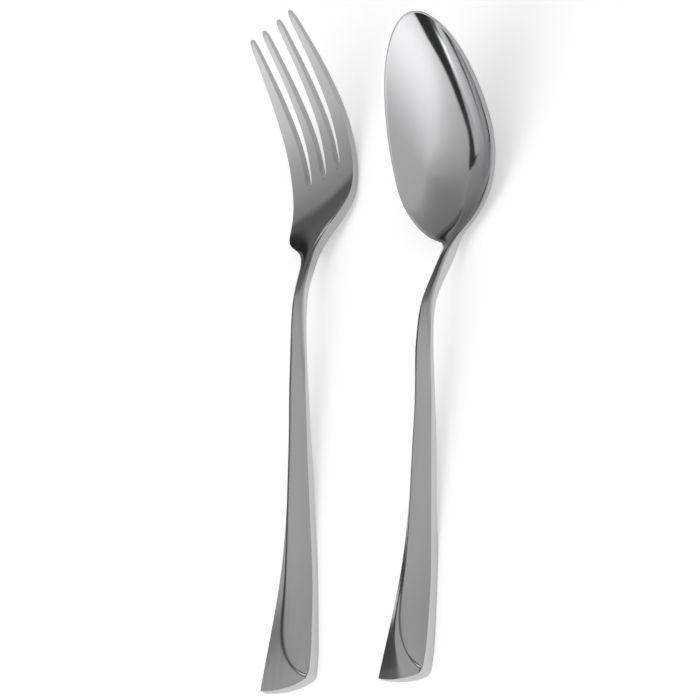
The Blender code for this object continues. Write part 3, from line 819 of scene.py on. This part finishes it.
def stamp_sheet(name, tops, lows, cut):
    """Closed sheet: a grid laid on the upper points, cut, and extruded to the lower points."""
    bpy.ops.object.select_all(action="DESELECT")
    rows, columns = len(tops), len(tops[0])
    bpy.ops.mesh.primitive_grid_add(
        x_subdivisions=columns - 1, y_subdivisions=rows - 1, size=1.0)
    piece = bpy.context.object
    piece.name = name
    piece.data.name = name
    mesh = piece.data
    for mark in ("row", "column"):
        mesh.attributes.new(mark, "INT", "POINT")
    row_of, column_of = grid_marks(mesh)
    for vertex in mesh.vertices:
        column = round((vertex.co.x + 0.5) * (columns - 1))
        row = round((vertex.co.y + 0.5) * (rows - 1))
        row_of[vertex.index].value = row
        column_of[vertex.index].value = column
        vertex.co = [c * MM for c in tops[row][column]]
    active_edit(piece)
    bpy.ops.mesh.select_mode(type="FACE")
    bpy.ops.mesh.select_all(action="DESELECT")
    bpy.ops.object.mode_set(mode="OBJECT")
    mesh = piece.data
    row_of, column_of = grid_marks(mesh)
    for face in mesh.polygons:
        row = min(row_of[v].value for v in face.vertices)
        column = min(column_of[v].value for v in face.vertices)
        face.select = cut(row, column)
    active_edit(piece)
    bpy.ops.mesh.delete(type="FACE")
    bpy.ops.mesh.select_all(action="SELECT")
    bpy.ops.mesh.extrude_region_move(TRANSFORM_OT_translate={"value": (0.0, 0.0, -MM)})
    bpy.ops.object.mode_set(mode="OBJECT")
    mesh = piece.data
    row_of, column_of = grid_marks(mesh)
    for vertex in mesh.vertices:
        if vertex.select:
            spot = lows[row_of[vertex.index].value][column_of[vertex.index].value]
            vertex.co = [c * MM for c in spot]
    active_edit(piece)
    bpy.ops.mesh.select_all(action="SELECT")
    bpy.ops.mesh.normals_make_consistent(inside=False)
    bpy.ops.mesh.select_mode(type="VERT")
    bpy.ops.mesh.delete_loose(use_verts=True, use_edges=True, use_faces=False)
    bpy.ops.object.mode_set(mode="OBJECT")
    mesh = piece.data
    for mark in ("row", "column"):
        mesh.attributes.remove(mesh.attributes[mark])
    return piece


def soften(piece, radius):
    """Round the stamped edges, refine the surface and shade it smooth."""
    active_edit(piece)
    bpy.ops.mesh.select_mode(type="EDGE")
    bpy.ops.mesh.select_all(action="DESELECT")
    bpy.ops.mesh.edges_select_sharp(sharpness=math.radians(SHARP_EDGE_DEGREES))
    bpy.ops.mesh.bevel(
        offset=radius, segments=BEVEL_SEGMENTS, affect="EDGES", clamp_overlap=True)
    bpy.ops.object.mode_set(mode="OBJECT")
    refine = piece.modifiers.new("refine", "SUBSURF")
    refine.levels = REFINE_LEVELS
    refine.render_levels = REFINE_LEVELS
    bpy.ops.object.modifier_apply(modifier=refine.name)
    bpy.ops.object.shade_smooth()


def set_place(turn_degrees, x, y):
    """Place of a piece in the set's frame, from its own end point and turn."""
    turn = Matrix.Rotation(-math.radians(turn_degrees), 4, "Z")
    shift = Matrix.Translation(((x - SET_MIDDLE_X) * MM, (y - SET_MIDDLE_Y) * MM, 0.0))
    return shift @ turn


def fit_to_node(piece, node):
    """Bring a piece exactly to the box of the node that it stands for."""
    low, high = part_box(node)
    spots = [vertex.co for vertex in piece.data.vertices]
    piece_low = Vector([min(spot[k] for spot in spots) for k in range(3)])
    piece_high = Vector([max(spot[k] for spot in spots) for k in range(3)])
    for vertex in piece.data.vertices:
        for k in range(3):
            share = (vertex.co[k] - piece_low[k]) / (piece_high[k] - piece_low[k])
            vertex.co[k] = low[k] + share * (high[k] - low[k])


def new_nodes(material):
    """Emptied node tree of a material, and its output node."""
    material.use_nodes = True
    tree = material.node_tree
    tree.nodes.clear()
    output = tree.nodes.new("ShaderNodeOutputMaterial")
    return tree, output


def polish_group():
    """Shared polish: faint hairlines and soft cloudiness over the metal."""
    name = "steel_polish"
    if name in bpy.data.node_groups:
        return bpy.data.node_groups[name]
    group = bpy.data.node_groups.new(name, "ShaderNodeTree")
    face = group.interface
    face.new_socket("Vector", in_out="INPUT", socket_type="NodeSocketVector")
    low = face.new_socket("Clear", in_out="INPUT", socket_type="NodeSocketFloat")
    low.default_value = POLISH_CLEAR
    high = face.new_socket("Cloudy", in_out="INPUT", socket_type="NodeSocketFloat")
    high.default_value = POLISH_CLOUDY
    face.new_socket("Roughness", in_out="OUTPUT", socket_type="NodeSocketFloat")
    face.new_socket("Height", in_out="OUTPUT", socket_type="NodeSocketFloat")
    nodes, links = group.nodes, group.links
    entry = nodes.new("NodeGroupInput")
    leave = nodes.new("NodeGroupOutput")
    stretch = nodes.new("ShaderNodeMapping")
    stretch.inputs["Scale"].default_value = HAIRLINE_SCALE
    hair = nodes.new("ShaderNodeTexNoise")
    hair.inputs["Scale"].default_value = 1.0
    hair.inputs["Detail"].default_value = 3.0
    cloud = nodes.new("ShaderNodeTexNoise")
    cloud.inputs["Scale"].default_value = CLOUD_SCALE
    cloud.inputs["Detail"].default_value = 4.0
    blend = nodes.new("ShaderNodeMath")
    blend.operation = "MULTIPLY"
    spread_map = nodes.new("ShaderNodeMapRange")
    links.new(entry.outputs["Vector"], stretch.inputs["Vector"])
    links.new(stretch.outputs["Vector"], hair.inputs["Vector"])
    links.new(entry.outputs["Vector"], cloud.inputs["Vector"])
    links.new(hair.outputs["Fac"], blend.inputs[0])
    links.new(cloud.outputs["Fac"], blend.inputs[1])
    links.new(blend.outputs[0], spread_map.inputs["Value"])
    spread_map.inputs["From Min"].default_value = POLISH_LEVELS[0]
    spread_map.inputs["From Max"].default_value = POLISH_LEVELS[1]
    links.new(entry.outputs["Clear"], spread_map.inputs["To Min"])
    links.new(entry.outputs["Cloudy"], spread_map.inputs["To Max"])
    links.new(spread_map.outputs["Result"], leave.inputs["Roughness"])
    links.new(hair.outputs["Fac"], leave.inputs["Height"])
    return group


def steel_material(name, settings, turn_degrees, end):
    """Steel whose hairlines run along a piece: satin handle with a painted sheen in its lighter
    colour, mirror-polished head.
    """
    material = bpy.data.materials.new(name)
    tree, output = new_nodes(material)
    nodes, links = tree.nodes, tree.links
    shader = nodes.new("ShaderNodeBsdfPrincipled")
    shader.inputs["Metallic"].default_value = 1.0
    place = nodes.new("ShaderNodeTexCoord")
    turn = nodes.new("ShaderNodeMapping")
    turn.inputs["Rotation"].default_value = (0.0, 0.0, math.radians(turn_degrees))
    polish = nodes.new("ShaderNodeGroup")
    polish.node_tree = polish_group()
    polish.inputs["Clear"].default_value = settings.clear_roughness
    polish.inputs["Cloudy"].default_value = settings.cloudy_roughness
    parts = nodes.new("ShaderNodeSeparateXYZ")
    links.new(turn.outputs["Vector"], parts.inputs[0])
    along = math_node(tree, "SUBTRACT", parts.outputs[1], end)
    # The handle takes the lighter satin colour, a painted sheen for its brighter reflection; the
    # head takes the plain steel colour.
    head = ease(tree, along, SATIN_AND_SHEEN_END - SATIN_AND_SHEEN_FADE, SATIN_AND_SHEEN_END + SATIN_AND_SHEEN_FADE)
    colour = nodes.new("ShaderNodeMix")
    colour.data_type = "RGBA"
    colour.inputs[6].default_value = settings.satin_painted_sheen_colour
    colour.inputs[7].default_value = settings.steel_colour
    links.new(head, colour.inputs[0])
    links.new(colour.outputs[2], shader.inputs["Base Color"])
    satin = math_node(tree, "ADD", polish.outputs["Roughness"], settings.satin_roughness)
    finish = mix_value(tree, head, satin, polish.outputs["Roughness"])
    bump = nodes.new("ShaderNodeBump")
    bump.inputs["Strength"].default_value = HAIRLINE_STRENGTH
    bump.inputs["Distance"].default_value = HAIRLINE_DEPTH
    links.new(place.outputs["Object"], turn.inputs["Vector"])
    links.new(turn.outputs["Vector"], polish.inputs["Vector"])
    links.new(finish, shader.inputs["Roughness"])
    links.new(polish.outputs["Height"], bump.inputs["Height"])
    links.new(bump.outputs["Normal"], shader.inputs["Normal"])
    links.new(shader.outputs["BSDF"], output.inputs["Surface"])
    return material


def feed(tree, socket, value):
    """Give a socket its value: another node's output, or a number."""
    if isinstance(value, bpy.types.NodeSocket):
        tree.links.new(value, socket)
    else:
        socket.default_value = value


def math_node(tree, operation, *values):
    """Math node whose inputs are sockets or numbers; returns its output."""
    node = tree.nodes.new("ShaderNodeMath")
    node.operation = operation
    for socket, value in zip(node.inputs, values):
        feed(tree, socket, value)
    return node.outputs[0]


def ease(tree, value, start, end):
    """Smooth step of a value from 0 at start to 1 at end; returns its output."""
    node = tree.nodes.new("ShaderNodeMapRange")
    node.interpolation_type = "SMOOTHSTEP"
    tree.links.new(value, node.inputs["Value"])
    feed(tree, node.inputs["From Min"], start)
    feed(tree, node.inputs["From Max"], end)
    return node.outputs["Result"]


def card(tree, azimuth, elevation, span, rise, soft):
    """Mask of a card in the studio between two azimuths and two elevations, in degrees."""
    left = ease(tree, azimuth, span[0] - soft, span[0] + soft)
    right = ease(tree, azimuth, span[1] + soft, span[1] - soft)
    low = ease(tree, elevation, rise[0] - soft, rise[0] + soft)
    over = math_node(tree, "ADD", rise[1], soft)
    under = math_node(tree, "SUBTRACT", rise[1], soft)
    high = ease(tree, elevation, over, under)
    wide = math_node(tree, "MULTIPLY", left, right)
    tall = math_node(tree, "MULTIPLY", low, high)
    return math_node(tree, "MULTIPLY", wide, tall)


def mix_value(tree, mask, base, value):
    """Base level with another level laid over it by a mask."""
    node = tree.nodes.new("ShaderNodeMix")
    node.data_type = "FLOAT"
    tree.links.new(mask, node.inputs[0])
    feed(tree, node.inputs[2], base)
    feed(tree, node.inputs[3], value)
    return node.outputs[0]


def profile(tree, azimuth, levels):
    """Smooth run of levels laid by degrees of azimuth; returns its output."""
    first, last = levels[0][0], levels[-1][0]
    most = max(level for degrees, level in levels)
    where = math_node(tree, "SUBTRACT", azimuth, first)
    where = math_node(tree, "DIVIDE", where, last - first)
    ramp = tree.nodes.new("ShaderNodeValToRGB")
    ramp.color_ramp.interpolation = "B_SPLINE"
    stops = ramp.color_ramp.elements
    while len(stops) < len(levels):
        stops.new(0.5)
    for stop, (degrees, level) in zip(stops, levels):
        stop.position = (degrees - first) / (last - first)
        stop.color = (level / most, level / most, level / most, 1.0)
    tree.links.new(where, ramp.inputs[0])
    return math_node(tree, "MULTIPLY", ramp.outputs["Color"], most)


def studio_world():
    """Soft studio: levels of the walls and ceiling by direction, with cards laid over them."""
    world = bpy.data.worlds.new("studio")
    world.use_nodes = True
    tree = world.node_tree
    tree.nodes.clear()
    output = tree.nodes.new("ShaderNodeOutputWorld")
    background = tree.nodes.new("ShaderNodeBackground")
    tree.links.new(background.outputs[0], output.inputs[0])
    place = tree.nodes.new("ShaderNodeTexCoord")
    parts = tree.nodes.new("ShaderNodeSeparateXYZ")
    tree.links.new(place.outputs["Generated"], parts.inputs[0])
    turn = math_node(tree, "ARCTAN2", parts.outputs[1], parts.outputs[0])
    turn = math_node(tree, "MULTIPLY", turn, 180.0 / math.pi)
    azimuth = math_node(tree, "WRAP", turn, 360.0, 0.0)
    rise = math_node(tree, "ARCSINE", parts.outputs[2])
    elevation = math_node(tree, "MULTIPLY", rise, 180.0 / math.pi)
    wall = profile(tree, azimuth, WALL_LEVELS)
    from_top = math_node(tree, "SUBTRACT", 0.5 * math.pi, rise)
    from_top = math_node(tree, "MULTIPLY", from_top, CEILING_NARROWING)
    from_top = math_node(tree, "MINIMUM", from_top, 0.5 * math.pi)
    share = math_node(tree, "SINE", from_top)
    level = mix_value(tree, share, CEILING_LEVEL, wall)
    for span, height, soft, value in STUDIO_CARDS:
        mask = card(tree, azimuth, elevation, span, height, soft)
        level = mix_value(tree, mask, level, value)
    arch_top = profile(tree, azimuth, ARCH_TOP)
    mask = card(tree, azimuth, elevation, ARCH_SPAN, (CARD_FOOT, arch_top), ARCH_SOFTNESS)
    level = mix_value(tree, mask, level, ARCH_LEVEL)
    window_top = profile(tree, azimuth, WINDOW_TOP)
    mask = card(tree, azimuth, elevation, WINDOW_SPAN, (CARD_FOOT, window_top), WINDOW_SOFTNESS)
    low = ease(tree, elevation, *WINDOW_RISE)
    brighter = WINDOW_LEVELS[1] - WINDOW_LEVELS[0]
    window = math_node(tree, "MULTIPLY_ADD", low, brighter, WINDOW_LEVELS[0])
    level = mix_value(tree, mask, level, window)
    mask = card(tree, azimuth, elevation, SILL_SPAN, SILL_RISE, WINDOW_SOFTNESS)
    level = mix_value(tree, mask, level, SILL_LEVEL)
    tree.links.new(level, background.inputs["Strength"])
    background.inputs["Color"].default_value = (1.0, 1.0, 1.0, 1.0)
    return world


def floor_material(settings):
    """Pale floor that keeps a soft shadow and shows white to the camera and in the metal."""
    material = bpy.data.materials.new("floor_pale")
    tree, output = new_nodes(material)
    shader = tree.nodes.new("ShaderNodeBsdfPrincipled")
    shader.inputs["Base Color"].default_value = settings.floor_colour
    shader.inputs["Roughness"].default_value = FLOOR_ROUGHNESS
    path = tree.nodes.new("ShaderNodeLightPath")
    glossy, through = path.outputs["Is Glossy Ray"], path.outputs["Is Transmission Ray"]
    mirrored = math_node(tree, "MAXIMUM", glossy, through)
    mirrored = math_node(tree, "MULTIPLY", mirrored, FLOOR_GLOW_IN_METAL)
    seen = math_node(tree, "MAXIMUM", path.outputs["Is Camera Ray"], mirrored)
    strength = math_node(tree, "MULTIPLY", seen, settings.floor_glow)
    tree.links.new(strength, shader.inputs["Emission Strength"])
    shader.inputs["Emission Color"].default_value = (1.0, 1.0, 1.0, 1.0)
    tree.links.new(shader.outputs["BSDF"], output.inputs["Surface"])
    return material


class CutlerySettings(bpy.types.PropertyGroup):
    """Sizes and finishes that a user would change."""

    edge_radius: FloatProperty(
        name="Edge radius", description="Rounding of the stamped edges", default=0.00024,
        unit="LENGTH")
    steel_colour: FloatVectorProperty(
        name="Steel", description="Colour of the polished steel", subtype="COLOR", size=4,
        default=(0.62, 0.62, 0.63, 1.0))
    # Lighter than the steel: the handle's satin finish, with a painted sheen in its colour standing
    # in for the handle's brighter reflection.
    satin_painted_sheen_colour: FloatVectorProperty(
        name="Satin", description="Colour of the satin handle", subtype="COLOR", size=4,
        default=(0.87, 0.87, 0.88, 1.0))
    satin_roughness: FloatProperty(
        name="Satin roughness", description="Roughness that the handle has over the polish",
        default=0.05, subtype="FACTOR")
    clear_roughness: FloatProperty(
        name="Clear polish", description="Roughness where the polish is clearest",
        default=0.07, subtype="FACTOR")
    cloudy_roughness: FloatProperty(
        name="Cloudy polish", description="Roughness where the polish is cloudiest",
        default=0.13, subtype="FACTOR")
    floor_colour: FloatVectorProperty(
        name="Floor", description="Colour of the pale floor", subtype="COLOR", size=4,
        default=(0.8, 0.8, 0.8, 1.0))
    floor_glow: FloatProperty(
        name="Floor glow", description="How much the floor lights itself toward the camera",
        default=0.46)
    lens_length: FloatProperty(
        name="Lens", description="Focal length on a 36 mm sensor, in millimetres",
        default=286.77)


def finish_piece(piece, node, material):
    """Give a piece its metal and hand it to the frame."""
    piece.data.materials.clear()
    piece.data.materials.append(material)
    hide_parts(node)
    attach(piece, "root")


class CUTLERY_OT_fork(bpy.types.Operator):
    """Stamp the fork with its four tines"""

    bl_idname = "cutlery.fork"
    bl_label = "Fork"

    def execute(self, context):
        settings = context.scene.cutlery
        tops, lows = fork_sheets()
        root = len(fork_rows())
        cycle = COLUMNS_PER_TINE + COLUMNS_PER_SLOT

        def slot(row, column):
            return row >= root and column % cycle >= COLUMNS_PER_TINE

        piece = stamp_sheet("fork_polished", tops, lows, slot)
        soften(piece, settings.edge_radius)
        piece.data.transform(set_place(0.0, 0.0, 0.0))
        fit_to_node(piece, "fork")
        material = steel_material("fork_polish", settings, 0.0, -SET_MIDDLE_Y * MM)
        finish_piece(piece, "fork", material)
        return {"FINISHED"}


class CUTLERY_OT_spoon(bpy.types.Operator):
    """Stamp the spoon with its egg-shaped bowl"""

    bl_idname = "cutlery.spoon"
    bl_label = "Spoon"

    def execute(self, context):
        settings = context.scene.cutlery
        tops, lows = spoon_sheets()
        piece = stamp_sheet("spoon_polished", tops, lows, lambda row, column: False)
        soften(piece, settings.edge_radius)
        piece.data.transform(set_place(SPOON_TURN_DEGREES, SPOON_PLACE_X, SPOON_PLACE_Y))
        fit_to_node(piece, "spoon")
        turn = math.radians(SPOON_TURN_DEGREES)
        x, y = SPOON_PLACE_X - SET_MIDDLE_X, SPOON_PLACE_Y - SET_MIDDLE_Y
        end = (x * math.sin(turn) + y * math.cos(turn)) * MM
        material = steel_material("spoon_polish", settings, SPOON_TURN_DEGREES, end)
        finish_piece(piece, "spoon", material)
        return {"FINISHED"}


class CUTLERY_OT_stage(bpy.types.Operator):
    """Lay the pale floor, light it softly and set the camera"""

    bl_idname = "cutlery.stage"
    bl_label = "Stage"

    def execute(self, context):
        settings = context.scene.cutlery
        bpy.ops.object.select_all(action="DESELECT")
        bpy.ops.mesh.primitive_plane_add(size=FLOOR_SIZE, location=(0.0, 0.0, 0.0))
        floor = context.object
        floor.name = "floor"
        floor.data.materials.append(floor_material(settings))
        context.scene.world = studio_world()
        bpy.ops.object.camera_add()
        camera = context.object
        camera.name = "camera"
        matrix = Matrix((CAMERA_RIGHT, CAMERA_UP, CAMERA_BACK)).transposed().to_4x4()
        matrix.translation = CAMERA_PLACE
        camera.matrix_world = matrix
        camera.data.lens = settings.lens_length
        camera.data.sensor_width = SENSOR_WIDTH
        camera.data.clip_end = CLIP_END
        context.scene.camera = camera
        context.scene.view_settings.view_transform = "Standard"
        return {"FINISHED"}


class CUTLERY_PT_panel(bpy.types.Panel):
    """Lists the pieces of the set and its stage"""

    bl_idname = "CUTLERY_PT_panel"
    bl_label = "Fork and spoon"
    bl_space_type = "VIEW_3D"
    bl_region_type = "UI"
    bl_category = "Cutlery"

    def draw(self, context):
        settings = context.scene.cutlery
        for name in settings.bl_rna.properties.keys():
            if name not in {"rna_type", "name"}:
                self.layout.prop(settings, name)
        for operator in (CUTLERY_OT_fork, CUTLERY_OT_spoon, CUTLERY_OT_stage):
            self.layout.operator(operator.bl_idname)


CLASSES = (
    CutlerySettings, CUTLERY_OT_fork, CUTLERY_OT_spoon, CUTLERY_OT_stage, CUTLERY_PT_panel,
)


def register():
    """Add the classes and the settings."""
    for item in CLASSES:
        bpy.utils.register_class(item)
    bpy.types.Scene.cutlery = PointerProperty(type=CutlerySettings)


def unregister():
    """Remove the settings and the classes."""
    del bpy.types.Scene.cutlery
    for item in reversed(CLASSES):
        bpy.utils.unregister_class(item)


def main():
    """Make both pieces and the stage."""
    register()
    bpy.ops.cutlery.fork()
    bpy.ops.cutlery.spoon()
    bpy.ops.cutlery.stage()


if __name__ == "__main__":
    main()
